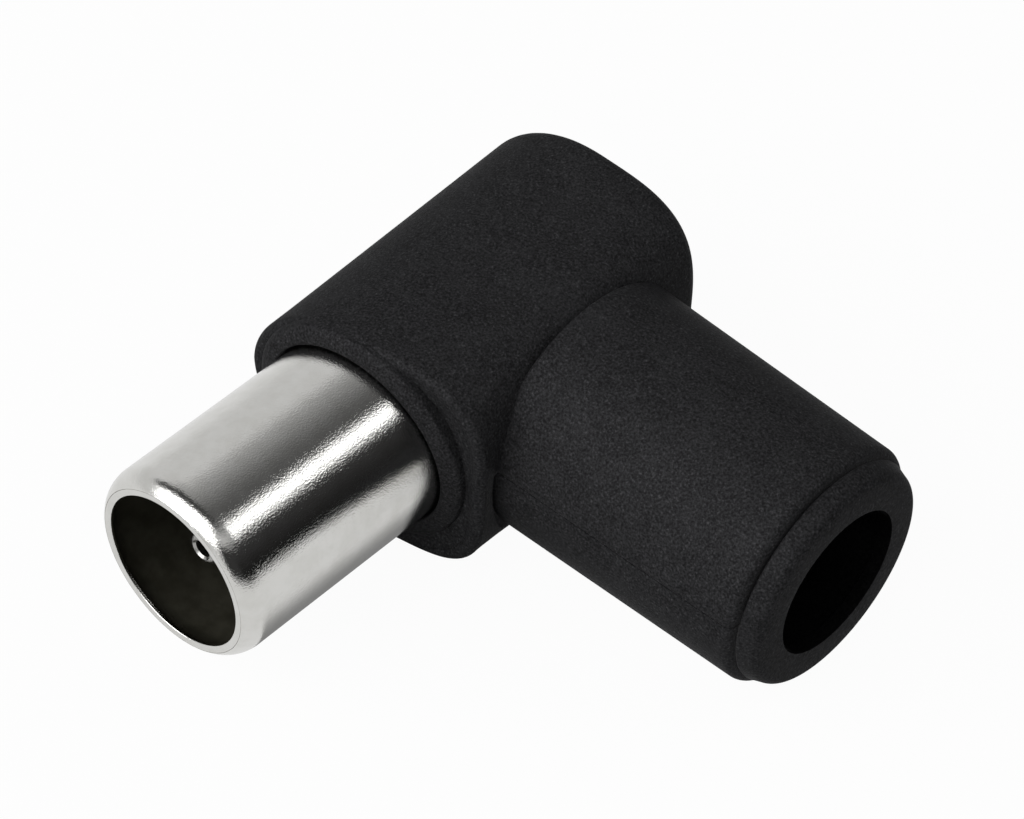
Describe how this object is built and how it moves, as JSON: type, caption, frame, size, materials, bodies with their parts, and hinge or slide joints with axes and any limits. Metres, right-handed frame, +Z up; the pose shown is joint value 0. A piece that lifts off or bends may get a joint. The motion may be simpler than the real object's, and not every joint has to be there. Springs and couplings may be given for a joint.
{
  "type": "right-angle coaxial aerial plug",
  "caption": "Right-angle coaxial aerial plug: nickel-plated sleeve and hollow centre pin in a black moulded elbow housing, with a clip-on barrel cover and an end ring for the cable.",
  "frame": {"origin": "centre of the plug's footprint, on the surface that the plug lies on", "axes": "+Z up from that surface, +X out of the cable's end, -Y out of the contact sleeve's mouth"},
  "size_m": [0.0276, 0.0278, 0.0132],
  "materials": {
    "black_moulding": "black moulded plastic with a fine spark texture",
    "nickel_plate": "bright nickel plate on drawn and turned brass",
    "bare_brass": "bare turned brass",
    "cast_screen": "plain die-cast grey metal",
    "white_insulator": "off-white moulded plastic",
    "screw_steel": "zinc-plated steel"
  },
  "bodies": {
    "root": {"housing": "black_moulding", "barrel_cover": "black_moulding", "end_ring": "black_moulding", "contact_sleeve": "nickel_plate", "centre_pin": "nickel_plate", "front_insulator": "white_insulator", "rear_insulator": "white_insulator", "screen_elbow": "cast_screen", "braid_claw": "nickel_plate", "conductor_bar": "bare_brass", "terminal_screw": "screw_steel"}
  },
  "joints": []
}
